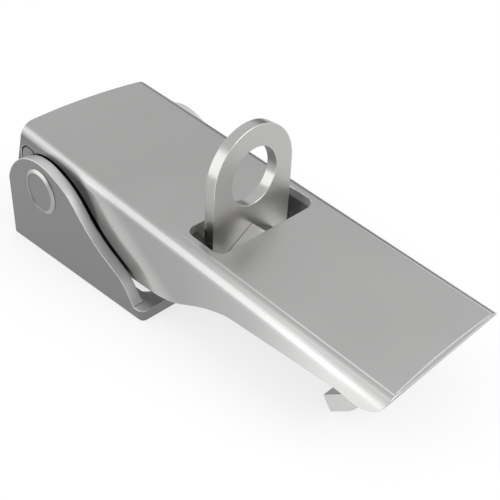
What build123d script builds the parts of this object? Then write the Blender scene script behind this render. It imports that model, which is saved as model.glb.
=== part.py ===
"""Adjustable over-centre draw latch with a padlock eye, closed.

Millimetres. Z is up from the mounting face, X runs from the pivot towards the hook, and the
latch is the same on both sides of Y = 0. The lever pivot stands over X = 0.
"""

from build123d import *
from math import cos, radians, sin, sqrt, tan
import os

# Sheets that the pieces are folded from
base_sheet = 2.5
lever_sheet = 2.0
link_sheet = 2.5
claw_sheet = 3.5

# Base: a channel with two ears
base_width = 42.0
base_back = 12.0
base_front = 32.4
base_bend = 0.5
base_inner_bend = 0.5
ear_radius = 12.2
ear_centre_x = -0.5
ear_height = 23.2
ear_arc_end = 70.0
ear_fall = [(9.0, 19.9), (13.6, 15.6), (17.4, 12.3), (21.8, 9.6), (26.2, 7.0), (29.1, 3.5)]
ear_toe_direction = (0.4, -1)
plate_corner = 1.4

# Slots in the base, their centre lines set in from the ears' inner faces
slot_width = 5.8
slot_length = 10.5
slot_pitch_x = 25.5
slot_set_in = 4.8
front_slot_x = 23.0

# Pivot rivets
pivot_height = 16.4
rivet_radius = 4.0
rivet_face = 4.3
rivet_rim = 5.1
rivet_proud = 0.5
rivet_inner_bevel = 0.4

# Lever: a channel with tapering flanges, its top sloping down to the free end
lever_length = 100.7
lever_slope = 6.55
lever_back = 11.2
lever_height = 27.5
lever_bend = 3.3
lever_inner_bend = 1.3
end_bow = 1.3
lip_depth = 1.3
lip_drop = 0.5
lip_land = 1.15
flange_back = 12.05
flange_heel_height = 18.4
flange_heel = 10.0
heel_start_angle = 205.0
heel_sweep = 65.0
flange_rise = [(33.0, 6.4), (39.6, 7.7), (43.4, 9.4), (47.5, 11.1), (51.5, 12.25), (56.0, 12.6)]
rise_direction = (1, 0.05)
flange_nose = [(78.0, 12.6), (83.8, 11.9), (86.6, 12.8), (88.4, 14.4)]
nose_direction = (1, -0.02)
nose_tip_direction = (0.25, 1)
lever_slot_start = 48.8
lever_slot_end = 58.3
lever_slot_land = 4.35
lever_slot_corner = 2.0

# Link pin, with a spacer at each end of the link
link_pin_x = -7.5
link_pin_radius = 3.0
link_pin_bevel = 0.3
spacer_length = 2.35
spacer_radius = 3.9

# Link: two arms, a web and the padlock eye, folded from one blank
link_bend = 3.0
link_inner_bend = 0.5
link_lobe = 4.2
arm_top_direction = (1, -0.02)
arm_shoulder_direction = (1, -0.1)
arm_bottom_direction = (1, -0.15)
web_front = 41.9
web_bottom = 5.0
web_shoulder = 15.3
belly_x = 30.0
eye_width = 21.7
eye_height = 30.5
eye_hole = 6.2

# Threaded stud, its nuts and washer
stud_height = 12.2
stud_radius = 4.0
stud_back = 28.0
stud_front = 64.0
stud_bevel = 0.8
nut_flats = 13.0
front_nut_height = 4.0
rear_nut_height = 6.5
nut_bevel_angle = 30.0
washer_radius = 8.0
washer_height = 1.6

# Claw: a flat plate curled under into a hook
claw_width = 26.0
claw_back = 52.0
claw_curl_x = 75.2
claw_curl_radius = 6.0
claw_tip_angle = 37.0
claw_tip_length = 4.4
claw_lift = 0.3

# Clearances
running = 0.05
snug = 0.02
ear_gap = 0.35
link_top_gap = 1.1
washer_gap = 0.2

# Sizes that follow from the ones above
ear_face = base_width / 2
ear_inner = ear_face - base_sheet
ear_toe = base_front - plate_corner
slot_pitch_y = 2 * (ear_inner - slot_set_in)
flange_face = ear_inner - ear_gap
flange_inner = flange_face - lever_sheet
lever_width = 2 * flange_face
lever_slot_width = lever_width - 2 * lever_slot_land
arm_face = flange_inner - spacer_length - 2 * running
link_width = 2 * arm_face
link_pin_height = lever_height - lever_sheet - link_lobe - link_top_gap
web_back = web_front - link_sheet
eye_radius = eye_width / 2
sides = {"near": -1, "far": 1}


def side_solid(edges, half_width):
    """Solid from -half_width to half_width in Y with a side outline of edges drawn in X and Z."""
    return extrude(Plane.XZ * make_face(edges), half_width, both=True)


def channel(width, sheet, height, length, bend, inner_bend):
    """Channel along X from the origin: its web lies on Z = 0 and its two walls stand up."""
    align = (Align.MIN, Align.CENTER, Align.MIN)
    outer = Box(length, width, height, align=align)
    outer = fillet(outer.edges().filter_by(Axis.X).group_by(Axis.Z)[0], bend)
    hollow = Box(length, width - 2 * sheet, height, align=align)
    hollow = fillet(hollow.edges().filter_by(Axis.X).group_by(Axis.Z)[0], inner_bend)
    return outer - Pos(0, 0, sheet) * hollow


def across(radius, x, z, length):
    """Cylinder along Y through (x, z), half of it on each side of the middle."""
    return Pos(x, 0, z) * Rot(90, 0, 0) * Cylinder(radius, length)


def turned(profile):
    """Solid of revolution about Z from points given as (radius, height)."""
    return revolve(Plane.XZ * make_face(Polyline(*profile, close=True)), Axis.Z)


def make_base():
    """Channel with ears at its back, slotted for four screws."""
    length = base_back + base_front
    align = (Align.MIN, Align.CENTER, Align.MIN)
    folded = Pos(-base_back, 0, 0) * channel(
        base_width, base_sheet, ear_height, length, base_bend, base_inner_bend
    )
    crown = CenterArc(
        (ear_centre_x, ear_height - ear_radius), ear_radius, ear_arc_end, 180 - ear_arc_end
    )
    slope = (sin(radians(ear_arc_end)), -cos(radians(ear_arc_end)))
    fall = Spline(crown @ 0, *ear_fall, (ear_toe, 0), tangents=[slope, ear_toe_direction])
    heel = (-base_back, 0)
    ears = folded & side_solid(
        [crown, Line(crown @ 1, heel), Line(heel, (ear_toe, 0)), fall], base_width
    )
    plate = folded & Pos(-base_back, 0, 0) * Box(length, base_width, base_sheet, align=align)
    plan = Box(length, base_width, ear_height, align=align)
    plan = fillet(plan.edges().filter_by(Axis.Z).group_by(Axis.X)[-1], plate_corner)
    body = (ears + plate) & Pos(-base_back, 0, 0) * plan
    hole = extrude(SlotOverall(slot_length, slot_width), 2 * base_sheet, both=True)
    for x in (front_slot_x, front_slot_x - slot_pitch_x):
        for y in (-slot_pitch_y / 2, slot_pitch_y / 2):
            body = body - Pos(x, y, 0) * hole
    return body - across(rivet_radius + snug, 0, pivot_height, 2 * base_width)


def make_rivet(side):
    """Stub pivot, swaged over the ear's outer face and flush with the lever flange's inner face."""
    profile = [
        (0, flange_inner),
        (rivet_radius - rivet_inner_bevel, flange_inner),
        (rivet_radius, flange_inner + rivet_inner_bevel),
        (rivet_radius, ear_face),
        (rivet_rim, ear_face),
        (rivet_face, ear_face + rivet_proud),
        (0, ear_face + rivet_proud),
    ]
    return Pos(0, 0, pivot_height) * Rot(-90 * side, 0, 0) * turned(profile)


def make_lever():
    """Channel open downwards, with bowed rear edge, tapering flanges and a slot for the eye."""
    slope = radians(lever_slope)
    frame = Plane(
        origin=(-lever_back, 0, lever_height),
        x_dir=(cos(slope), 0, -sin(slope)),
        z_dir=(sin(slope), 0, cos(slope)),
    )
    depth = lever_height
    blank = channel(
        lever_width, lever_sheet, depth, lever_length + 2 * end_bow, lever_bend, lever_inner_bend
    )
    blank = Pos(-2 * end_bow, 0, 0) * Rot(180, 0, 0) * blank
    bow_radius = (flange_face**2 + end_bow**2) / (2 * end_bow)
    rear = Box(
        4 * end_bow,
        2 * lever_width,
        2 * lever_bend,
        align=(Align.MAX, Align.CENTER, Align.CENTER),
    )
    rear = Pos(end_bow, 0, 0) * rear
    blank = blank - (rear - Pos(bow_radius, 0, 0) * Cylinder(bow_radius, 4 * lever_bend))
    lip_half_width = flange_face - lip_land
    lip_radius = (lip_half_width**2 + lip_depth**2) / (2 * lip_depth)
    lip = Cone(
        lip_radius - 2 * lip_depth,
        lip_radius,
        2 * lip_drop,
        align=(Align.CENTER, Align.CENTER, Align.MAX),
    )
    blank = blank - Pos(lever_length - lip_depth + lip_radius, 0, 0) * lip
    slot = RectangleRounded(
        lever_slot_end - lever_slot_start, lever_slot_width, lever_slot_corner
    )
    slot = extrude(slot, 2 * lever_bend, both=True)
    blank = blank - Pos((lever_slot_start + lever_slot_end) / 2, 0, 0) * slot
    body = frame * blank

    end = frame.from_local_coords(Vector(lever_length, 0, -lip_drop))
    tip = frame.from_local_coords(Vector(lever_length, 0, depth))
    back = frame.from_local_coords(Vector(-3 * end_bow, 0, depth))
    rear_top = frame.from_local_coords(Vector(-3 * end_bow, 0, -lever_bend))
    corner = frame.from_local_coords(Vector(end_bow, 0, -lever_bend))
    heel = CenterArc((0, pivot_height), flange_heel, heel_start_angle, heel_sweep)
    rise = Spline(*flange_rise, tangents=[rise_direction, (1, 0)])
    nose = Spline(
        *flange_nose, (end.X, end.Z), tangents=[nose_direction, nose_tip_direction]
    )
    rear = (-flange_back, flange_heel_height)
    outline = [
        Line((tip.X, tip.Z), (back.X, back.Z)),
        Line((back.X, back.Z), (rear_top.X, rear_top.Z)),
        Line((rear_top.X, rear_top.Z), (corner.X, corner.Z)),
        Line((corner.X, corner.Z), rear),
        Spline(rear, heel @ 0, tangents=[(rear[0] - corner.X, rear[1] - corner.Z), heel % 0]),
        heel,
        Line(heel @ 1, flange_rise[0]),
        rise,
        Line(flange_rise[-1], flange_nose[0]),
        nose,
        Line((end.X, end.Z), (tip.X, tip.Z)),
    ]
    body = body & side_solid(outline, lever_width)
    body = body - across(rivet_radius + running, 0, pivot_height, 2 * lever_width)
    return body - across(link_pin_radius + snug, link_pin_x, link_pin_height, 2 * lever_width)


def make_link_pin():
    """Pin across the lever, flush with both flanges."""
    pin = Cylinder(link_pin_radius, lever_width)
    pin = chamfer(pin.edges().filter_by(GeomType.CIRCLE), link_pin_bevel)
    return Pos(link_pin_x, 0, link_pin_height) * Rot(90, 0, 0) * pin


def make_spacer(side):
    """Tube on the link pin between an arm of the link and the lever's flange."""
    bore = Cylinder(link_pin_radius + snug, 2 * spacer_length)
    tube = Cylinder(spacer_radius, spacer_length) - bore
    middle = (flange_inner + arm_face) / 2
    return Pos(link_pin_x, side * middle, link_pin_height) * Rot(90, 0, 0) * tube


def make_link():
    """Two arms and a web, with the eye standing up from the web."""
    length = web_front - link_pin_x + link_lobe
    arms = channel(
        link_width, link_sheet, length, 2 * eye_height, link_bend, link_inner_bend
    )
    arms = Pos(web_front, 0, -eye_height / 2) * Rot(0, -90, 0) * arms
    lobe_top = (link_pin_x, link_pin_height + link_lobe)
    lobe_bottom = (link_pin_x, link_pin_height - link_lobe)
    lobe = CenterArc((link_pin_x, link_pin_height), link_lobe, 90, 180)
    shoulder = (web_front - 2 * link_bend, web_shoulder)
    upper = Spline(lobe_top, shoulder, tangents=[arm_top_direction, arm_shoulder_direction])
    lower = Spline(
        lobe_bottom, (belly_x, web_bottom), tangents=[arm_bottom_direction, (1, 0)]
    )
    beyond = web_front + link_sheet
    outline = [
        lobe,
        upper,
        Line(upper @ 1, (beyond, web_shoulder)),
        Line((beyond, web_shoulder), (beyond, web_bottom)),
        Line((beyond, web_bottom), lower @ 1),
        lower,
    ]
    body = arms & side_solid(outline, link_width)
    post = Box(link_sheet, eye_width, eye_height - stud_height)
    post = Pos(web_front - link_sheet / 2, 0, (eye_height + stud_height) / 2) * post
    disc = Pos(web_front - link_sheet / 2, 0, eye_height) * Rot(0, 90, 0) * Cylinder(
        eye_radius, link_sheet
    )
    body = body + (post + disc)
    body = body - Pos(web_front, 0, eye_height) * Rot(0, 90, 0) * Cylinder(
        eye_hole, 4 * link_sheet
    )
    body = body - Pos(web_front, 0, stud_height) * Rot(0, 90, 0) * Cylinder(
        stud_radius + running, 4 * link_sheet
    )
    return body - across(link_pin_radius + running, link_pin_x, link_pin_height, 2 * link_width)


def along_x(solid, x):
    """The solid, drawn about Z from height 0, laid along the stud from x."""
    return Pos(x, 0, stud_height) * Rot(0, 90, 0) * solid


def make_stud():
    """Threaded stud of the claw, drawn at its full thread diameter."""
    length = stud_front - stud_back
    rod = Cylinder(stud_radius, length, align=(Align.CENTER, Align.CENTER, Align.MIN))
    rod = chamfer(rod.edges().filter_by(GeomType.CIRCLE).group_by(Axis.Z)[0], stud_bevel)
    return along_x(rod, stud_back)


def make_nut(height, x):
    """Hexagon nut on the stud with one corner up, bevelled at both ends."""
    half = nut_flats / 2
    corner = nut_flats / sqrt(3)
    beyond = 2 * corner - half
    drop = (beyond - half) * tan(radians(nut_bevel_angle))
    hexagon = extrude(RegularPolygon(corner, 6), height)
    cone_ended = turned(
        [
            (0, 0),
            (half, 0),
            (beyond, drop),
            (beyond, height - drop),
            (half, height),
            (0, height),
        ]
    )
    nut = (hexagon & cone_ended) - Cylinder(stud_radius + running, 4 * height)
    return along_x(nut, x)


def make_washer():
    """Flat washer behind the web."""
    ring = Cylinder(washer_radius, washer_height, align=(Align.CENTER, Align.CENTER, Align.MIN))
    ring = ring - Cylinder(stud_radius + washer_gap, 4 * washer_height)
    return along_x(ring, web_back - washer_height - running)


def make_claw():
    """Plate beside the stud, curled under into a hook that points back to the latch."""
    top = stud_height + claw_lift + claw_sheet / 2
    low = top - claw_sheet
    centre = (claw_curl_x, top - claw_curl_radius)
    inner = claw_curl_radius - claw_sheet
    end_angle = claw_tip_angle - 90
    back = (-cos(radians(claw_tip_angle)), -sin(radians(claw_tip_angle)))
    outer_curl = CenterArc(centre, claw_curl_radius, end_angle, 90 - end_angle)
    inner_curl = CenterArc(centre, inner, end_angle, 90 - end_angle)
    outer_tip = outer_curl @ 0 + Vector(*back) * claw_tip_length
    inner_tip = inner_curl @ 0 + Vector(*back) * claw_tip_length
    outline = [
        outer_curl,
        Line(outer_curl @ 1, (claw_back, top)),
        Line((claw_back, top), (claw_back, low)),
        Line((claw_back, low), inner_curl @ 1),
        inner_curl,
        Line(inner_curl @ 0, inner_tip),
        Line(inner_tip, outer_tip),
        Line(outer_tip, outer_curl @ 0),
    ]
    body = side_solid(outline, claw_width / 2)
    notch = Box(2 * (stud_front - claw_back), 2 * stud_radius, 2 * claw_sheet)
    return body - Pos(claw_back, 0, stud_height) * notch


def build_parts():
    """Every piece of the latch under its name."""
    parts = {
        "base": make_base(),
        "lever": make_lever(),
        "link": make_link(),
        "link_pin": make_link_pin(),
        "stud": make_stud(),
        "claw": make_claw(),
        "front_nut": make_nut(front_nut_height, web_front + running),
        "rear_nut": make_nut(
            rear_nut_height, web_back - washer_height - 2 * running - rear_nut_height
        ),
        "rear_washer": make_washer(),
    }
    for name, side in sides.items():
        parts[f"pivot_rivet_{name}"] = make_rivet(side)
        parts[f"link_spacer_{name}"] = make_spacer(side)
    return parts


os.makedirs("parts", exist_ok=True)
for name, solid in build_parts().items():
    export_step(solid, f"parts/{name}.step")
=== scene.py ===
from math import cos, pi, radians

import bmesh
import bpy
import numpy as np
from bpy.props import FloatProperty, FloatVectorProperty, IntProperty, PointerProperty
from mathutils import Matrix, Vector


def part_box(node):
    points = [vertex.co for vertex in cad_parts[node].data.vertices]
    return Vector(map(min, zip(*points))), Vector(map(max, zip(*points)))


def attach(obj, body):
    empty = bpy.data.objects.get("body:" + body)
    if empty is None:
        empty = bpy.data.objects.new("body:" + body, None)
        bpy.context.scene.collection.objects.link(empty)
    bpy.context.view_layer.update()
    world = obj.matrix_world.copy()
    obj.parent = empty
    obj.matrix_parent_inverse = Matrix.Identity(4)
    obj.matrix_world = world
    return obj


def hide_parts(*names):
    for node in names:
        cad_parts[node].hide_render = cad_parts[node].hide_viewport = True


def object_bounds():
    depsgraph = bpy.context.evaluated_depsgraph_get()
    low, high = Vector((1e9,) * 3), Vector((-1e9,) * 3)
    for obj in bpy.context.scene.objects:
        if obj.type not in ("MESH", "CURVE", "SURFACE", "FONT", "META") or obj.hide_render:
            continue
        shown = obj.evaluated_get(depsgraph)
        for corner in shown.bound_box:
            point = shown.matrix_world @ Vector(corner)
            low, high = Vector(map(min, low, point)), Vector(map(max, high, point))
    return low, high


bl_info = {
    "name": "Draw latch looks",
    "version": (1, 0, 0),
    "blender": (4, 5, 0),
    "location": "3D View > Sidebar > Draw Latch",
    "description": "Dresses the draw latch in satin steel and sets its stage",
    "category": "Object",
}

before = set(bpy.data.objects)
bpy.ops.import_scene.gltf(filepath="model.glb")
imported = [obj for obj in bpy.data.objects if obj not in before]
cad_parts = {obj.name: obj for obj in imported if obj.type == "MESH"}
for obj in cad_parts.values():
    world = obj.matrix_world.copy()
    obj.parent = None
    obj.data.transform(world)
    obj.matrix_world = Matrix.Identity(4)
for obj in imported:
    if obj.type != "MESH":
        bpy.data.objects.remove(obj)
cad_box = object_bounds()

# Cleaning of a copied mesh, and the angle from which an edge counts as sharp
MERGE_DISTANCE = 1e-6
SHORT_EDGE = 1e-5
FLAT_ANGLE = radians(0.3)
SMOOTH_ANGLE = radians(32)

# How much of a normal lies along an axis when its face looks partly or squarely that way
PARTLY = 0.3
SQUARELY = 0.9

# Every finish: clouds in its colour, and grain in its roughness and bump
CLOUD_SCALE = 70.0
CLOUD_DETAIL = 4.0
CLOUD_REACH = (0.25, 0.75)
CLOUD_TONES = (0.975, 1.02)
GRAIN_DETAIL = 3.0
GRAIN_REACH = (0.3, 0.7)
ROUGHNESS_SWING = 0.012
BUMP_STRENGTH = 0.008
BUMP_DISTANCE = 0.00002

# The lever's flanges, painted shade at the back and painted light at the free end: shares of its
# colour at shares of its length, from the base colour to the lit end colour
FLANGE_FACING = (0.7, 0.97)
FLANGE_BACK_TONE = 0.80
FLANGE_TONES = ((0.12, 0.56), (0.20, 0.66), (0.31, 0.88), (0.53, 0.98), (0.71, 1.26))
LIT_END_FROM = 0.89

# The lever's top, painted light: its tone from a share of the length to the free end
TOP_FROM = 0.3
TOP_TONES = (0.98, 1.14)

# A colour ramp holds tones up to 1, so tones above 1 are halved in it and doubled after it
EVEN = 0.5
DOUBLE = 2.0

# The bends' painted highlight and shade: halved tones by the size of the normal's Y, coming in
# along the lever
BEND_LIGHT_TONES = (
    (0.04, EVEN), (0.10, 0.80), (0.16, 0.80), (0.22, 0.44), (0.30, 0.55),
    (0.45, 0.76), (0.62, 0.80), (0.80, 0.58), (0.92, EVEN),
)
BEND_LIGHT_FROM = 0.45
BEND_LIGHT_FULL = 0.80

# The paler band of painted reflection along the ears' front edges, where the dot product with a
# way is in reach
BAND_WAY = (1.0, 0.0, 1.33)
BAND_REACH = (0.036, 0.052)
BAND_TONES = ((0.0, EVEN), (0.40, 0.74), (1.0, EVEN))

# The ring of painted shade beside the ears on the flanges: its centre, and its tones over a reach
# of radii
SHADE_RING_CENTRE = (0.0040, 0, 0.0128)
SHADE_RING_REACH = (0.0088, 0.0128)
SHADE_RING_TONES = ((0.0, 1.0), (0.32, 0.34), (0.62, 0.34), (1.0, 1.0))

# The sleek back of the flanges: how much smoother, and where along the lever it fades
SLEEK = -0.13
SLEEK_FACING = (0.96, 0.998)
SLEEK_REACH = (0.40, 0.60)

# The photograph's camera: where it stands and which way its picture lies
CAMERA_PLACE = (0.138468, -0.108706, 0.115911)
CAMERA_RIGHT = (0.72266, 0.68942, 0.04964)
CAMERA_UP = (-0.42827, 0.39023, 0.81505)
CAMERA_LENS = 63.0
CAMERA_SENSOR = 36.0
CAMERA_NEAR = 0.005


class SteelSettings(bpy.types.PropertyGroup):
    """Colours and finishes of the latch's steel."""

    lever_colour: FloatVectorProperty(
        name="Lever colour", description="Colour of the lever's sheet",
        default=(0.385, 0.383, 0.380), subtype="COLOR", min=0, max=1,
    )
    base_colour: FloatVectorProperty(
        name="Base colour", description="Colour of the base's sheet",
        default=(0.225, 0.224, 0.222), subtype="COLOR", min=0, max=1,
    )
    link_colour: FloatVectorProperty(
        name="Link colour", description="Colour of the link and its eye",
        default=(0.485, 0.481, 0.474), subtype="COLOR", min=0, max=1,
    )
    claw_colour: FloatVectorProperty(
        name="Claw colour", description="Colour of the claw's plate",
        default=(0.300, 0.298, 0.295), subtype="COLOR", min=0, max=1,
    )
    fastener_colour: FloatVectorProperty(
        name="Fastener colour", description="Colour of the nuts, the stud, the pin and the rivets",
        default=(0.560, 0.557, 0.550), subtype="COLOR", min=0, max=1,
    )
    edge_colour: FloatVectorProperty(
        name="Edge colour", description="Colour of the sheets' rubbed edges",
        default=(0.640, 0.638, 0.630), subtype="COLOR", min=0, max=1,
    )
    sheared_colour: FloatVectorProperty(
        name="Sheared colour", description="Colour of the base's sheared edges",
        default=(0.620, 0.617, 0.610), subtype="COLOR", min=0, max=1,
    )
    # Painted light: the channels' insides are painted pale, standing for light in these hollows
    inner_light_colour: FloatVectorProperty(
        name="Inner light colour", description="Colour of the channels' unbrushed inner faces",
        default=(0.880, 0.877, 0.870), subtype="COLOR", min=0, max=1,
    )
    # Painted light: the flanges' colour at the free end, standing for reflected light
    lit_end_colour: FloatVectorProperty(
        name="Lit end colour", description="Colour of the flanges where hands polish the free end",
        default=(0.780, 0.777, 0.770), subtype="COLOR", min=0, max=1,
    )
    # Painted shadow: the dark ring in the gap around the link pin's ends
    gap_shadow_colour: FloatVectorProperty(
        name="Gap shadow colour", description="Colour of the dark seam around the link pin's ends",
        default=(0.050, 0.049, 0.048), subtype="COLOR", min=0, max=1,
    )
    roughness: FloatProperty(
        name="Roughness", description="Roughness of the satin sheets",
        default=0.29, min=0.05, max=1, subtype="FACTOR",
    )
    edge_width: FloatProperty(
        name="Edge width", description="Width of the broken edge along every sharp corner",
        default=0.00012, min=0, unit="LENGTH", precision=5,
    )
    edge_steps: IntProperty(
        name="Edge steps", description="Faces across a broken edge", default=2, min=1, max=6,
    )


class ThreadSettings(bpy.types.PropertyGroup):
    """Sizes of the stud's thread and of the weld beside it."""

    pitch: FloatProperty(
        name="Pitch", description="Distance from one turn to the next",
        default=0.00125, min=0.0002, unit="LENGTH", precision=5,
    )
    depth: FloatProperty(
        name="Depth", description="Height of the thread",
        default=0.00070, min=0, unit="LENGTH", precision=5,
    )
    weld_radius: FloatProperty(
        name="Weld radius", description="Half the width of a weld bead",
        default=0.00085, min=0, unit="LENGTH", precision=5,
    )
    weld_ripple: FloatProperty(
        name="Weld ripple", description="Distance between the ripples of a weld bead",
        default=0.00080, min=0.0001, unit="LENGTH", precision=5,
    )


class StageSettings(bpy.types.PropertyGroup):
    """Floor, background and lamps."""

    floor_colour: FloatVectorProperty(
        name="Floor colour", description="Colour of the floor",
        default=(0.94, 0.94, 0.94), subtype="COLOR", min=0, max=1,
    )
    daylight: FloatProperty(
        name="Surround light", description="Strength of the even light from all around",
        default=0.85, min=0,
    )
    softbox_power: FloatProperty(
        name="Softbox power", description="Power of the long softbox that lights the bend",
        default=1.3, min=0, unit="POWER",
    )
    key_power: FloatProperty(
        name="Key power", description="Power of the lamp above and to the right of the latch",
        default=2.0, min=0, unit="POWER",
    )


class LatchSettings(bpy.types.PropertyGroup):
    """Every value that the panel shows."""

    steel: PointerProperty(type=SteelSettings)
    thread: PointerProperty(type=ThreadSettings)
    stage: PointerProperty(type=StageSettings)


def settings():
    """The latch's settings in the open scene."""
    return bpy.context.scene.draw_latch


def shaded(colour, share):
    """A colour with a share of its brightness."""
    return [share * channel for channel in colour]


def add_node(tree, kind, inputs=None, **options):
    """Adds a node with its options set. An input is a value, or a socket to be joined to."""
    node = tree.nodes.new(kind)
    for option, value in options.items():
        setattr(node, option, value)
    for key, value in (inputs or {}).items():
        if isinstance(value, bpy.types.NodeSocket):
            tree.links.new(value, node.inputs[key])
        else:
            node.inputs[key].default_value = value
    return node


def ranged(tree, source, reach, ends=(0.0, 1.0), interpolation="LINEAR"):
    """A socket that runs from one end to the other while the source runs through its reach."""
    inputs = {
        "Value": source,
        "From Min": reach[0], "From Max": reach[1],
        "To Min": ends[0], "To Max": ends[1],
    }
    node = add_node(tree, "ShaderNodeMapRange", inputs, interpolation_type=interpolation)
    return node.outputs["Result"]


def ramped(tree, source, stops, interpolation="LINEAR"):
    """A socket with a colour ramp over the source, its stops in order as (place, colour)."""
    node = add_node(tree, "ShaderNodeValToRGB", {"Fac": source})
    ramp = node.color_ramp
    ramp.interpolation = interpolation
    for stop, (place, colour) in zip(ramp.elements, (stops[0], stops[-1])):
        stop.position = place
        stop.color = (*colour, 1)
    for place, colour in stops[1:-1]:
        ramp.elements.new(place).color = (*colour, 1)
    return node.outputs["Color"]


def grey_ramped(tree, source, tones, interpolation="LINEAR"):
    """A socket with a ramp of greys over the source, from (place, tone) pairs."""
    return ramped(tree, source, [(place, (tone,) * 3) for place, tone in tones], interpolation)


def scaled(tree, colour, factor):
    """A socket with a colour times a number or a socket's value."""
    inputs = {0: colour, "Scale": factor}
    return add_node(tree, "ShaderNodeVectorMath", inputs, operation="SCALE").outputs["Vector"]


def multiplied(tree, one, other):
    """A socket with one colour times another."""
    inputs = {0: one, 1: other}
    return add_node(tree, "ShaderNodeVectorMath", inputs, operation="MULTIPLY").outputs["Vector"]


def mixed(tree, share, one, other):
    """A socket that goes from one colour to the other with a share."""
    inputs = {"Factor": share, "A": one, "B": other}
    return add_node(tree, "ShaderNodeMix", inputs, data_type="RGBA").outputs["Result"]


def steel(name, colour, roughness, stretch):
    """Satin steel: clouded colour, and grain drawn out along the axis stretched the least."""
    material = bpy.data.materials.new(name)
    material.use_nodes = True
    tree = material.node_tree
    shader = tree.nodes["Principled BSDF"]
    shader.inputs["Metallic"].default_value = 1.0
    place = add_node(tree, "ShaderNodeTexCoord").outputs["Object"]

    inputs = {"Vector": place, "Scale": CLOUD_SCALE, "Detail": CLOUD_DETAIL}
    clouds = add_node(tree, "ShaderNodeTexNoise", inputs).outputs["Fac"]
    stops = [(at, shaded(colour, tone)) for at, tone in zip(CLOUD_REACH, CLOUD_TONES)]
    tree.links.new(ramped(tree, clouds, stops), shader.inputs["Base Color"])

    drawn = add_node(tree, "ShaderNodeMapping", {"Vector": place, "Scale": stretch})
    inputs = {"Vector": drawn.outputs["Vector"], "Scale": 1.0, "Detail": GRAIN_DETAIL}
    grain = add_node(tree, "ShaderNodeTexNoise", inputs).outputs["Fac"]
    swing = (roughness - ROUGHNESS_SWING, roughness + ROUGHNESS_SWING)
    tree.links.new(ranged(tree, grain, GRAIN_REACH, swing), shader.inputs["Roughness"])
    inputs = {"Strength": BUMP_STRENGTH, "Distance": BUMP_DISTANCE, "Height": grain}
    bump = add_node(tree, "ShaderNodeBump", inputs)
    tree.links.new(bump.outputs["Normal"], shader.inputs["Normal"])
    return material


def recipe(finish):
    """The colour, roughness and grain stretch of a finish."""
    values = settings().steel
    rough = values.roughness
    return {
        "satin_lever_steel": (values.lever_colour, rough, (80, 3000, 3000)),
        # Painted shade: the lip is a darker copy of the lever's steel
        "painted_shade_lip_steel": (shaded(values.lever_colour, 0.9), rough, (80, 3000, 3000)),
        "dull_base_steel": (values.base_colour, rough + 0.06, (150, 4000, 4000)),
        "satin_link_steel": (values.link_colour, rough + 0.05, (3000, 4000, 300)),
        # Painted shade: the eye's sides are a darker copy of the link's steel, also smoother
        "rubbed_painted_shade_link_steel": (shaded(values.link_colour, 0.88), rough - 0.05, (3000, 400, 300)),
        "satin_claw_steel": (values.claw_colour, rough, (3000, 300, 3000)),
        "turned_fastener_steel": (values.fastener_colour, rough - 0.06, (6000, 900, 900)),
        "swaged_rim_steel": (shaded(values.fastener_colour, 0.70), rough, (6000, 900, 900)),
        # Painted light on the channels' insides, and a dimmer copy of it for the lever's inside
        "painted_light_inner_steel": (values.inner_light_colour, rough + 0.16, (200, 2500, 2500)),
        "painted_dim_light_inner_steel": (shaded(values.inner_light_colour, 0.62), rough + 0.16, (200, 2500, 2500)),
        # Painted shadow in the gap around the link pin's ends
        "painted_gap_shadow_steel": (values.gap_shadow_colour, rough + 0.20, (2500, 2500, 2500)),
        "rubbed_edge_steel": (values.edge_colour, 0.22, (2500, 2500, 2500)),
        "sheared_edge_steel": (values.sheared_colour, 0.48, (2500, 400, 2500)),
    }[finish]


def material_of(finish):
    """The material of a finish, made when it is first asked for."""
    return bpy.data.materials.get(finish) or steel(finish, *recipe(finish))


def top_tone(tree, plain, share, across):
    """Painted light on the lever's top towards the free end, and painted light and shade on its
    bends.

    The plain colour is scaled by a tone that grows with the share of the length. The painted light
    and shade on the bends are a ramp over the size of the normal's Y, so they follow the bend, and
    they come in from the middle of the lever to the front.
    """
    # Painted light towards the free end
    top = scaled(tree, plain, ranged(tree, share, (TOP_FROM, 1.0), TOP_TONES))
    # Painted highlight and shade along the bends
    bend_light = scaled(tree, grey_ramped(tree, across, BEND_LIGHT_TONES), DOUBLE)
    forward = ranged(tree, share, (BEND_LIGHT_FROM, BEND_LIGHT_FULL))
    return mixed(tree, forward, top, multiplied(tree, top, bend_light))


def flange_tone(tree, place, along, share):
    """The lever's flanges: painted shade at the back and light at the free end, and both beside
    the ears.

    A ramp over the share of the length is multiplied by the paler band of painted reflection, a
    ramp over the dot product of the place with the band's way, and by the ring of painted shade, a
    ramp over the distance from the ring's centre in X and Z.
    """
    values = settings().steel
    # Painted shade at the back of the flanges, painted light towards the free end
    stops = [(0.0, shaded(values.base_colour, FLANGE_BACK_TONE))]
    stops += [(at, shaded(values.lever_colour, tone)) for at, tone in FLANGE_TONES]
    stops += [(LIT_END_FROM, values.lit_end_colour)]
    ramp = ramped(tree, share, stops)

    # Painted reflection: a paler band beside the ears' front edges
    inputs = {0: place, 1: BAND_WAY}
    slope = add_node(tree, "ShaderNodeVectorMath", inputs, operation="DOT_PRODUCT")
    beside = ranged(tree, slope.outputs["Value"], BAND_REACH)
    paled = multiplied(tree, ramp, grey_ramped(tree, beside, BAND_TONES, "EASE"))

    # Painted shade: a darker ring on the flanges beside the ears
    inputs = {"X": along.outputs["X"], "Z": along.outputs["Z"]}
    flat = add_node(tree, "ShaderNodeCombineXYZ", inputs).outputs["Vector"]
    inputs = {0: flat, 1: SHADE_RING_CENTRE}
    away = add_node(tree, "ShaderNodeVectorMath", inputs, operation="DISTANCE")
    radius = ranged(tree, away.outputs["Value"], SHADE_RING_REACH)
    ring = grey_ramped(tree, radius, SHADE_RING_TONES, "EASE")
    return multiplied(tree, scaled(tree, paled, DOUBLE), ring)


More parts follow.
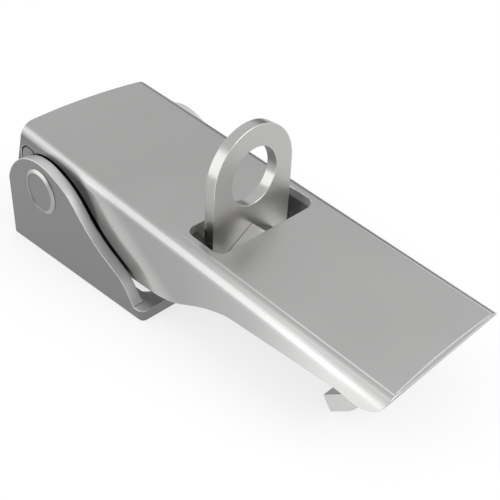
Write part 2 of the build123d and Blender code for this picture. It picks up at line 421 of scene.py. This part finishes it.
def tone_lever(material, box):
    """Paints light and shade into the lever's finish by the place and the way of its faces.

    The flanges' tone comes in with the size of the object-space normal's Y, eased over
    FLANGE_FACING, and every other face has the top's. Level flanges are sleeker at the back.
    """
    tree = material.node_tree
    shader = tree.nodes["Principled BSDF"]
    plain = shader.inputs["Base Color"].links[0].from_socket
    grain = shader.inputs["Roughness"].links[0].from_socket
    place = add_node(tree, "ShaderNodeTexCoord")
    along = add_node(tree, "ShaderNodeSeparateXYZ", {0: place.outputs["Object"]})
    facing = add_node(tree, "ShaderNodeSeparateXYZ", {0: place.outputs["Normal"]})
    size = add_node(tree, "ShaderNodeMath", {0: facing.outputs["Y"]}, operation="ABSOLUTE")
    across = size.outputs["Value"]
    share = ranged(tree, along.outputs["X"], (box[0].x, box[1].x))

    top = top_tone(tree, plain, share, across)
    flange = flange_tone(tree, place.outputs["Object"], along, share)
    ease = ranged(tree, across, FLANGE_FACING, interpolation="SMOOTHSTEP")
    tree.links.new(mixed(tree, ease, top, flange), shader.inputs["Base Color"])

    level = ranged(tree, across, SLEEK_FACING)
    back = ranged(tree, share, SLEEK_REACH, (1.0, 0.0))
    sleek = add_node(tree, "ShaderNodeMath", {0: level, 1: back}, operation="MULTIPLY")
    inputs = {0: sleek.outputs["Value"], 1: SLEEK, 2: grain}
    sheen = add_node(tree, "ShaderNodeMath", inputs, operation="MULTIPLY_ADD")
    tree.links.new(sheen.outputs["Value"], shader.inputs["Roughness"])


def add_piece(mesh, name, finish, body, *nodes):
    """Puts a mesh into the scene as a piece that rides on a body and stands for CAD nodes."""
    piece = bpy.data.objects.new(name, mesh)
    bpy.context.scene.collection.objects.link(piece)
    mesh.materials.clear()
    mesh.materials.append(material_of(finish))
    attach(piece, body)
    if nodes:
        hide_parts(*nodes)
    return piece


def smooth(mesh):
    """Shades a mesh smooth except across its sharp edges."""
    mesh.polygons.foreach_set("use_smooth", np.ones(len(mesh.polygons), bool))
    mesh.set_sharp_from_angle(angle=SMOOTH_ANGLE)


def merged_copy(node, name):
    """A copy of a CAD node's mesh, its triangles joined and its flat faces made whole."""
    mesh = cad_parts[node].data.copy()
    mesh.name = name
    form = bmesh.new()
    form.from_mesh(mesh)
    bmesh.ops.remove_doubles(form, verts=form.verts, dist=MERGE_DISTANCE)
    bmesh.ops.remove_doubles(form, verts=form.verts, dist=SHORT_EDGE)
    bmesh.ops.dissolve_limit(form, angle_limit=FLAT_ANGLE, verts=form.verts, edges=form.edges)
    form.to_mesh(mesh)
    form.free()
    smooth(mesh)
    return mesh


def add_bevel(piece, name, width, limit_method, finish):
    """Adds a rounded bevel, in a finish of its own if one is named."""
    bevel = piece.modifiers.new(name, "BEVEL")
    bevel.width = width
    bevel.segments = settings().steel.edge_steps
    bevel.limit_method = limit_method
    bevel.angle_limit = SMOOTH_ANGLE
    bevel.harden_normals = True
    bevel.use_clamp_overlap = False
    if finish:
        bevel.material = len(piece.data.materials)
        piece.data.materials.append(material_of(finish))


def broken_edges(piece, width, finish):
    """Breaks the sharp edges of a piece by width, and keeps its flat faces' shading flat."""
    if width > 0:
        add_bevel(piece, "broken edges", width, "ANGLE", finish)
    level = piece.modifiers.new("level faces", "WEIGHTED_NORMAL")
    level.keep_sharp = True


def break_chosen(piece, chosen):
    """Breaks the chosen edges of a piece in a rubbed finish, ahead of its other modifiers."""
    weights = piece.data.attributes.new("bevel_weight_edge", "FLOAT", "EDGE")
    weights.data.foreach_set("value", chosen.astype(np.float32))
    width = settings().steel.edge_width
    add_bevel(piece, "rubbed edges", width, "WEIGHT", "rubbed_edge_steel")
    piece.modifiers.move(len(piece.modifiers) - 1, 0)


def corners_in(mesh):
    """The places of a mesh's corners, as rows of three."""
    corners = np.empty(3 * len(mesh.vertices), np.float32)
    mesh.vertices.foreach_get("co", corners)
    return corners.reshape(-1, 3)


def move_corners(mesh, corners):
    """Puts a mesh's corners in new places and shades it again."""
    mesh.vertices.foreach_set("co", corners.ravel())
    mesh.update()
    smooth(mesh)


def edge_ends(mesh):
    """The corner numbers at the two ends of each edge, as rows of two."""
    ends = np.empty(2 * len(mesh.edges), np.int32)
    mesh.edges.foreach_get("vertices", ends)
    return ends.reshape(-1, 2)


def corners_of(mesh, faces):
    """Marks the corners of a mesh that belong to any of the marked faces."""
    sides = np.empty(len(mesh.polygons), np.int32)
    mesh.polygons.foreach_get("loop_total", sides)
    corner = np.empty(len(mesh.loops), np.int32)
    mesh.loops.foreach_get("vertex_index", corner)
    marked = np.zeros(len(mesh.vertices), bool)
    marked[corner[np.repeat(faces, sides)]] = True
    return marked


def dressed(node, name, finish, body, share=1.0, edge_finish=""):
    """A CAD node's own shape with a finish, its edges broken by a share of the edge width."""
    piece = add_piece(merged_copy(node, name), name, finish, body, node)
    broken_edges(piece, settings().steel.edge_width * share, edge_finish)
    return piece


def faces_of(piece):
    """The normals and centres of a piece's faces, as two arrays of rows."""
    faces = piece.data.polygons
    normals = np.empty(3 * len(faces))
    centres = np.empty(3 * len(faces))
    faces.foreach_get("normal", normals)
    faces.foreach_get("center", centres)
    return normals.reshape(-1, 3), centres.reshape(-1, 3)


def refinish(piece, finish, chosen):
    """Gives the chosen faces of a piece another finish."""
    faces = piece.data.polygons
    index = np.empty(len(faces), np.int32)
    faces.foreach_get("material_index", index)
    index[chosen] = len(piece.data.materials)
    piece.data.materials.append(material_of(finish))
    faces.foreach_set("material_index", index)


def refinish_inside(piece, opening, finish):
    """Gives the inside of a channel a finish of its own.

    Inside are the walls' faces towards the middle plane, and the web's face towards the side
    where the channel is open, which is 1 for up and -1 for down.
    """
    normals, centres = faces_of(piece)
    inward = normals[:, 1] * np.sign(centres[:, 1]) < -PARTLY
    wall = np.abs(centres[inward, 1]).max()
    web = (normals[:, 2] * opening > PARTLY) & (np.abs(centres[:, 1]) < wall)
    refinish(piece, finish, inward | web)


def ring_surface(name, points):
    """Closed mesh over a grid of points, in rows that each close on themselves.

    Row i and row i + 1 are joined by quads, and each end row is closed by a fan to the mean
    of its points. The faces are turned outwards by the sign of the enclosed volume, which is
    the sum over all triangles of a . (b x c) / 6.
    """
    rows, columns = points.shape[:2]
    corners = points.reshape(-1, 3)
    corners = np.vstack([corners, points[0].mean(0), points[-1].mean(0)])
    index = np.arange(rows * columns).reshape(rows, columns)
    onward = np.roll(index, -1, axis=1)
    quads = np.stack([index[:-1], onward[:-1], onward[1:], index[1:]], -1).reshape(-1, 4)
    first, last = rows * columns, rows * columns + 1
    fans = np.vstack([
        np.stack([onward[0], index[0], np.full(columns, first)], -1),
        np.stack([index[-1], onward[-1], np.full(columns, last)], -1),
    ])
    triangles = np.vstack([quads[:, [0, 1, 2]], quads[:, [0, 2, 3]], fans])
    a, b, c = (corners[triangles[:, i]] for i in range(3))
    if np.einsum("ij,ij->", a, np.cross(b, c)) < 0:
        quads, fans = quads[:, ::-1], fans[:, ::-1]
    mesh = bpy.data.meshes.new(name)
    mesh.from_pydata(corners.tolist(), [], quads.tolist() + fans.tolist())
    mesh.validate()
    smooth(mesh)
    return mesh


def turned_mesh(name, profile, centre, axis, columns=96):
    """Surface of revolution about an axis through a centre.

    At angle a, a profile point (r, h) lies at centre + h axis + r (u cos a + w sin a), where u
    and w are square to the axis and to each other.
    """
    axis = Vector(axis)
    u = axis.orthogonal().normalized()
    w = np.array(axis.cross(u))
    u = np.array(u)
    radius, height = np.array(profile).T
    angle = np.linspace(0, 2 * pi, columns, endpoint=False)
    spokes = np.cos(angle)[:, None] * u + np.sin(angle)[:, None] * w
    points = radius[:, None, None] * spokes + height[:, None, None] * np.array(axis)
    return ring_surface(name, points + np.array(centre))


class DRAW_LATCH_OT_base(bpy.types.Operator):
    """Dress the channel with its ears and slots"""

    bl_idname = "draw_latch.base"
    bl_label = "Base"

    # The sheet's thickness, and the Z of a normal from which a face doesn't look down
    sheet = 0.0025
    downwards = -0.5

    def execute(self, context):
        piece = dressed(
            "base", "base_channel", "dull_base_steel", "base_body",
            edge_finish="sheared_edge_steel",
        )
        # Painted light on the channel's inside
        refinish_inside(piece, 1, "painted_light_inner_steel")
        normals, centres = faces_of(piece)
        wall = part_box("base")[1].y - self.sheet
        across_sheet = (np.abs(normals[:, 1]) < PARTLY) & (normals[:, 2] > self.downwards)
        on_ear = (np.abs(centres[:, 1]) > wall) & (centres[:, 2] > self.sheet)
        refinish(piece, "sheared_edge_steel", across_sheet & on_ear)
        return {"FINISHED"}


class DRAW_LATCH_OT_rivets(bpy.types.Operator):
    """Turn the two swaged pivot rivets"""

    bl_idname = "draw_latch.rivets"
    bl_label = "Pivot rivets"

    # The shank's and the face's radius as shares of the rim's
    shank_share = 4.0 / 5.1
    face_share = 4.3 / 5.1
    # The shank's chamfer as a share of its radius, and the dish's floor as one of the face's
    chamfer_share = 0.10
    floor_share = 0.5
    # The rim's step and the dish's depth as shares of the head's height
    rim_share = 0.16
    dish_share = 0.35
    # The cone's faces, by how much of their normal lies along the rivet
    cone_tilt = (0.1, 0.95)

    def execute(self, context):
        seat = abs(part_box("base")[0].y)
        for node, side in (("pivot_rivet_near", -1), ("pivot_rivet_far", 1)):
            low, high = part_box(node)
            rim = (high.x - low.x) / 2
            centre = ((low.x + high.x) / 2, 0, (low.z + high.z) / 2)
            inner = min(abs(low.y), abs(high.y))
            outer = max(abs(low.y), abs(high.y))
            proud = outer - seat
            shank = rim * self.shank_share
            face = rim * self.face_share
            chamfer = shank * self.chamfer_share
            step = proud * self.rim_share
            dish = outer - proud * self.dish_share
            profile = [
                (shank - chamfer, inner),
                (shank, inner + chamfer),
                (shank, seat),
                (rim, seat),
                (rim, seat + step),
                (rim - step, seat + 2 * step),
                (face + step, outer - step / 2),
                (face, outer),
                (face - 2 * step, outer),
                (face - 3 * step, dish),
                (face * self.floor_share, dish),
            ]
            mesh = turned_mesh(node.replace("pivot_", ""), profile, centre, (0, side, 0))
            piece = add_piece(mesh, f"swaged_{node}", "dull_base_steel", "base_body", node)
            tilt = np.abs(faces_of(piece)[0][:, 1])
            low_tilt, high_tilt = self.cone_tilt
            refinish(piece, "swaged_rim_steel", (tilt > low_tilt) & (tilt < high_tilt))
        return {"FINISHED"}


class DRAW_LATCH_OT_lever(bpy.types.Operator):
    """Dress the lever with its bends, flanges and slot"""

    bl_idname = "draw_latch.lever"
    bl_label = "Lever"

    # Shares of the edge width: the painted gap shadow around the pin, and the spacers' edges
    gap_shadow_share = 1.5
    spacer_share = 0.5
    # The sloping top's normal, and how much of a normal lies along it on the level top
    top_normal = (0.11407, 0, 0.99347)
    level_share = 0.9999
    # The slot lies this near to the middle plane
    slot_reach = 0.0155
    # The lip lies this near to the free end, and is drawn to this share of its depth
    lip_reach = 0.006
    lip_share = 0.45

    def execute(self, context):
        lever = dressed(
            "lever", "lever_channel", "satin_lever_steel", "lever_body",
            edge_finish="rubbed_edge_steel",
        )
        # Painted light on the lever's inside, dimmer than on the base's
        refinish_inside(lever, -1, "painted_dim_light_inner_steel")
        normals, centres = faces_of(lever)
        upright = np.abs(normals @ self.top_normal) < PARTLY
        # Painted light on the slot's walls
        refinish(lever, "painted_light_inner_steel", upright & (np.abs(centres[:, 1]) < self.slot_reach))
        # Painted light and shade on the lever's top and flanges
        tone_lever(material_of("satin_lever_steel"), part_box("lever"))
        # Painted shade: the lip at the free end gets a darker copy of the lever's steel
        at_end = centres[:, 0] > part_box("lever")[1].x - self.lip_reach
        lip = at_end & (normals[:, 0] > PARTLY)
        refinish(lever, "painted_shade_lip_steel", lip)
        level = normals @ self.top_normal > self.level_share
        rim = corners_of(lever.data, lip) & corners_of(lever.data, level)
        self.shallow_lip(lever.data, rim)
        break_chosen(lever, rim[edge_ends(lever.data)].all(1))
        self.dress_pin()
        return {"FINISHED"}

    def dress_pin(self):
        """Dresses the link pin, with a painted shadow in the gap around its ends, and its two
        spacers.
        """
        dressed(
            "link_pin", "flush_link_pin", "dull_base_steel", "lever_body",
            self.gap_shadow_share, "painted_gap_shadow_steel",
        )
        for name in ("spacer_near", "spacer_far"):
            dressed(f"link_{name}", name, "turned_fastener_steel", "lever_body", self.spacer_share)

    def shallow_lip(self, mesh, rim):
        """Draws the lip's inner rim towards the end, to a share of its depth along the top."""
        corners = corners_in(mesh)
        way = np.array((self.top_normal[2], 0, -self.top_normal[0]), np.float32)
        along = corners[rim] @ way
        corners[rim] += np.outer((along.max() - along) * (1 - self.lip_share), way)
        move_corners(mesh, corners)


class DRAW_LATCH_OT_link(bpy.types.Operator):
    """Dress the link with its arms, web and padlock eye"""

    bl_idname = "draw_latch.link"
    bl_label = "Link and eye"

    # Shares of the edge width. The link's is none, and the eye's edges are broken by choice
    link_share = 0.0
    washer_share = 0.6
    # The eye stands above the web's shoulders and is this wide
    shoulder = 0.0150
    half_width = 0.0110

    def execute(self, context):
        link = dressed("link", "link_and_eye", "satin_link_steel", "link_body", self.link_share)
        normals, centres = faces_of(link)
        # Painted shade: the eye's sides get a darker, smoother copy of the link's steel
        side = (np.abs(normals[:, 0]) < PARTLY) & self.on_eye(centres)
        refinish(link, "rubbed_painted_shade_link_steel", side)
        sharp = np.empty(len(link.data.edges), bool)
        link.data.edges.foreach_get("use_edge_sharp", sharp)
        eye = self.on_eye(corners_in(link.data))
        break_chosen(link, eye[edge_ends(link.data)].all(1) & sharp)
        dressed(
            "rear_washer", "flat_washer", "turned_fastener_steel", "link_body", self.washer_share
        )
        return {"FINISHED"}

    def on_eye(self, places):
        """Marks the places above the web's shoulders and between them."""
        return (places[:, 2] > self.shoulder) & (np.abs(places[:, 1]) < self.half_width)


class DRAW_LATCH_OT_nuts(bpy.types.Operator):
    """Dress the two hexagon nuts"""

    bl_idname = "draw_latch.nuts"
    bl_label = "Hexagon nuts"

    # Share of the edge width, and the depth of the bevel that a seat doesn't have
    nut_share = 0.35
    bevel_reach = 0.0008

    def execute(self, context):
        for node in ("front_nut", "rear_nut"):
            name, body = f"hexagon_{node}", f"{node}_body"
            piece = dressed(node, name, "turned_fastener_steel", body, self.nut_share)
            low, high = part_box(node)
            self.square_seat(piece.data, low.x if node == "front_nut" else high.x)
        return {"FINISHED"}

    def square_seat(self, mesh, seat):
        """Fills the bevel on a nut's seat: its corners near the plane x = seat move onto it."""
        corners = corners_in(mesh)
        corners[np.abs(corners[:, 0] - seat) < self.bevel_reach, 0] = seat
        move_corners(mesh, corners)


class DRAW_LATCH_OT_stud(bpy.types.Operator):
    """Cut the thread of the claw's stud"""

    bl_idname = "draw_latch.stud"
    bl_label = "Threaded stud"

    rows_per_turn = 10
    columns = 40
    # The triangle wave's slope, what is clipped off it at the crest, and the lead-in's depth
    # as a share of the thread's
    flank_slope = 1.25
    crest_share = 0.125
    lead_in = 1.15

    def execute(self, context):
        thread = settings().thread
        low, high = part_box("stud")
        points = self.thread_points(high.x - low.x, (high.z - low.z) / 2, thread)
        mesh = ring_surface("threaded_stud", points + (low.x, 0, (low.z + high.z) / 2))
        add_piece(mesh, "threaded_stud", "turned_fastener_steel", "claw_body", "stud")
        return {"FINISHED"}

    def thread_points(self, length, crest, thread):
        """Grid of points over a threaded rod along X, from its back end at the origin.

        The radius is the crest's less the depth times a clipped triangle wave of the turn,
        x / pitch - angle / (2 pi), and no more than the lead-in's cone at the back end.
        """
        rows = int(length / thread.pitch * self.rows_per_turn)
        x = np.linspace(0, length, rows)[:, None]
        angle = np.linspace(0, 2 * pi, self.columns, endpoint=False)[None, :]
        turn = np.mod(x / thread.pitch - angle / (2 * pi), 1)
        wave = np.clip(self.flank_slope * np.abs(2 * turn - 1) - self.crest_share, 0, 1)
        radius = crest - thread.depth * wave
        radius = np.minimum(radius, crest - thread.depth * self.lead_in + x)
        return np.stack([x + 0 * angle, radius * np.cos(angle), radius * np.sin(angle)], -1)


class DRAW_LATCH_OT_claw(bpy.types.Operator):
    """Dress the claw and lay the weld beads beside its stud"""

    bl_idname = "draw_latch.claw"
    bl_label = "Claw and welds"

    columns = 20
    rows = 140
    # The ripple's height as a share of the bead's radius, and where u starts and ends
    ripple_height = 0.1
    end_share = 0.998

    def execute(self, context):
        thread = settings().thread
        claw = dressed("claw", "curled_claw", "satin_claw_steel", "claw_body")
        refinish(claw, "rubbed_edge_steel", np.abs(faces_of(claw)[0][:, 1]) > SQUARELY)
        claw_low, claw_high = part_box("claw")
        low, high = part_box("stud")
        radius = (high.z - low.z) / 2
        rise = claw_high.z - (low.z + high.z) / 2
        corner = np.sqrt(radius**2 - rise**2)
        reach = (claw_low.x + thread.weld_radius, high.x - thread.weld_radius)
        points = self.bead_points(reach, thread)
        for name, side in (("near", -1), ("far", 1)):
            mesh = ring_surface(f"weld_{name}", points + (0, side * corner, claw_high.z))
            add_piece(mesh, f"weld_bead_{name}", "rubbed_edge_steel", "claw_body")
        return {"FINISHED"}

    def bead_points(self, reach, thread):
        """Grid of points over a weld bead along X, with its middle line on the X axis.

        The radius swells and shrinks with a sine of x over the ripple, and falls to nothing at
        both ends with the fourth root of 1 - u^8, where u runs from nearly -1 to nearly 1.
        """
        x = np.linspace(*reach, self.rows)
        u = np.linspace(-self.end_share, self.end_share, self.rows)
        swell = 1 + self.ripple_height * np.sin(2 * pi * x / thread.weld_ripple)
        bead = (thread.weld_radius * swell * np.power(1 - u**8, 0.25))[:, None]
        angle = np.linspace(0, 2 * pi, self.columns, endpoint=False)
        return np.stack([x[:, None] + 0 * angle, bead * np.cos(angle), bead * np.sin(angle)], -1)


def camera_rays(tree):
    """A socket that is 1 for rays of the camera, of a glossy and of a transmitting surface."""
    path = add_node(tree, "ShaderNodeLightPath")
    total = path.outputs["Is Camera Ray"]
    for ray in ("Is Glossy Ray", "Is Transmission Ray"):
        inputs = {0: total, 1: path.outputs[ray]}
        total = add_node(tree, "ShaderNodeMath", inputs, operation="MAXIMUM").outputs["Value"]
    return total


class DRAW_LATCH_OT_stage(bpy.types.Operator):
    """Set the floor, the background, the lamps and the camera"""

    bl_idname = "draw_latch.stage"
    bl_label = "Stage"

    floor_size = 6.0
    floor_glow = 0.75
    floor_drop = 0.00002
    floor_roughness = 0.9
    # Each lamp: its name, place and size
    softbox = ("bend_softbox", (-0.36, -0.46, 0.24), (0.70, 0.50))
    key = ("right_key", (0.55, 0.16, 0.50), (0.50, 0.50))
    # Each dark flag: the way towards it, the angles where it ends and where it is full, its tone
    flags = (
        ((0.24, -0.50, 0.83), 26, 12, 0.35),
        ((0.25, -0.86, 0.44), 25, 10, 0.04),
        ((-0.42, 0.90, 0.08), 28, 10, 0.20),
    )

    def execute(self, context):
        values = settings().stage
        self.make_world(context, values)
        self.make_floor(context, values)
        self.make_lamp(context, *self.softbox, values.softbox_power)
        self.make_lamp(context, *self.key, values.key_power)
        self.make_camera(context)
        context.scene.view_settings.view_transform = "Standard"
        return {"FINISHED"}

    def make_world(self, context, values):
        """White to the camera, and an even pale light for everything else.

        Reflections see it white too, but for the dark flags. A flag's tone comes in with the
        cosine of the angle to its way, between its two angles, and the flags are multiplied.
        """
        world = bpy.data.worlds.new("pale_surround")
        context.scene.world = world
        world.use_nodes = True
        tree = world.node_tree
        place = add_node(tree, "ShaderNodeTexCoord").outputs["Generated"]
        seen = 1.0
        for way, outer, inner, tone in self.flags:
            inputs = {0: place, 1: Vector(way).normalized()}
            toward = add_node(tree, "ShaderNodeVectorMath", inputs, operation="DOT_PRODUCT")
            reach = (cos(radians(outer)), cos(radians(inner)))
            flag = ranged(tree, toward.outputs["Value"], reach, (1.0, tone))
            darker = add_node(tree, "ShaderNodeMath", {0: flag, 1: seen}, operation="MULTIPLY")
            seen = darker.outputs["Value"]
        glossy = add_node(tree, "ShaderNodeLightPath").outputs["Is Glossy Ray"]
        bright = add_node(tree, "ShaderNodeMix", {"Factor": glossy, "A": 1.0, "B": seen})
        inputs = {
            "Value": camera_rays(tree),
            "To Min": values.daylight,
            "To Max": bright.outputs["Result"],
        }
        strength = add_node(tree, "ShaderNodeMapRange", inputs).outputs["Result"]
        background = tree.nodes["Background"]
        background.inputs["Color"].default_value = (1, 1, 1, 1)
        tree.links.new(strength, background.inputs["Strength"])

    def make_floor(self, context, values):
        """A pale floor that glows a little for the camera and keeps the latch's shadow."""
        half = self.floor_size / 2
        mesh = bpy.data.meshes.new("floor")
        mesh.from_pydata(
            [(-half, -half, 0), (half, -half, 0), (half, half, 0), (-half, half, 0)],
            [], [(0, 1, 2, 3)],
        )
        floor = bpy.data.objects.new("floor", mesh)
        context.scene.collection.objects.link(floor)
        floor.location.z = cad_box[0][2] - self.floor_drop
        material = bpy.data.materials.new("pale_floor")
        material.use_nodes = True
        tree = material.node_tree
        shader = tree.nodes["Principled BSDF"]
        shader.inputs["Base Color"].default_value = (*values.floor_colour, 1)
        shader.inputs["Roughness"].default_value = self.floor_roughness
        shader.inputs["Specular IOR Level"].default_value = 0.0
        glow = add_node(tree, "ShaderNodeEmission").outputs["Emission"]
        inputs = {0: camera_rays(tree), 1: self.floor_glow}
        share = add_node(tree, "ShaderNodeMath", inputs, operation="MULTIPLY").outputs["Value"]
        inputs = {"Fac": share, 1: shader.outputs["BSDF"], 2: glow}
        blend = add_node(tree, "ShaderNodeMixShader", inputs).outputs["Shader"]
        tree.links.new(blend, tree.nodes["Material Output"].inputs["Surface"])
        mesh.materials.append(material)

    def make_lamp(self, context, name, place, size, power):
        """A rectangular softbox at a place, aimed at the latch's middle."""
        lamp = bpy.data.lights.new(name, "AREA")
        lamp.shape = "RECTANGLE"
        lamp.size, lamp.size_y = size
        lamp.energy = power
        holder = bpy.data.objects.new(name, lamp)
        context.scene.collection.objects.link(holder)
        holder.location = place
        middle = (Vector(cad_box[0]) + Vector(cad_box[1])) / 2
        holder.rotation_euler = (middle - Vector(place)).to_track_quat("-Z", "Y").to_euler()

    def make_camera(self, context):
        """The camera at the photograph's place and angle."""
        lens = bpy.data.cameras.new("photograph_camera")
        lens.lens = CAMERA_LENS
        lens.sensor_width = CAMERA_SENSOR
        lens.clip_start = CAMERA_NEAR
        camera = bpy.data.objects.new("photograph_camera", lens)
        context.scene.collection.objects.link(camera)
        right, up = Vector(CAMERA_RIGHT), Vector(CAMERA_UP)
        turn = Matrix((right, up, right.cross(up))).transposed()
        camera.matrix_world = Matrix.Translation(CAMERA_PLACE) @ turn.to_4x4()
        context.scene.camera = camera


PIECE_OPERATORS = (
    DRAW_LATCH_OT_base,
    DRAW_LATCH_OT_rivets,
    DRAW_LATCH_OT_lever,
    DRAW_LATCH_OT_link,
    DRAW_LATCH_OT_nuts,
    DRAW_LATCH_OT_stud,
    DRAW_LATCH_OT_claw,
    DRAW_LATCH_OT_stage,
)


class VIEW3D_PT_draw_latch(bpy.types.Panel):
    """The latch's settings and the buttons that make its pieces"""

    bl_label = "Draw Latch"
    bl_space_type = "VIEW_3D"
    bl_region_type = "UI"
    bl_category = "Draw Latch"

    def draw(self, context):
        values = context.scene.draw_latch
        for group in (values.steel, values.thread, values.stage):
            box = self.layout.box()
            for name in group.__annotations__:
                box.prop(group, name)
        for operator in PIECE_OPERATORS:
            self.layout.operator(operator.bl_idname)


CLASSES = (
    SteelSettings,
    ThreadSettings,
    StageSettings,
    LatchSettings,
    *PIECE_OPERATORS,
    VIEW3D_PT_draw_latch,
)


def register():
    for cls in CLASSES:
        bpy.utils.register_class(cls)
    bpy.types.Scene.draw_latch = PointerProperty(type=LatchSettings)


def unregister():
    del bpy.types.Scene.draw_latch
    for cls in reversed(CLASSES):
        bpy.utils.unregister_class(cls)


def main():
    """Makes every piece in order."""
    register()
    bpy.ops.draw_latch.base()
    bpy.ops.draw_latch.rivets()
    bpy.ops.draw_latch.lever()
    bpy.ops.draw_latch.link()
    bpy.ops.draw_latch.nuts()
    bpy.ops.draw_latch.stud()
    bpy.ops.draw_latch.claw()
    bpy.ops.draw_latch.stage()


if __name__ == "__main__":
    main()
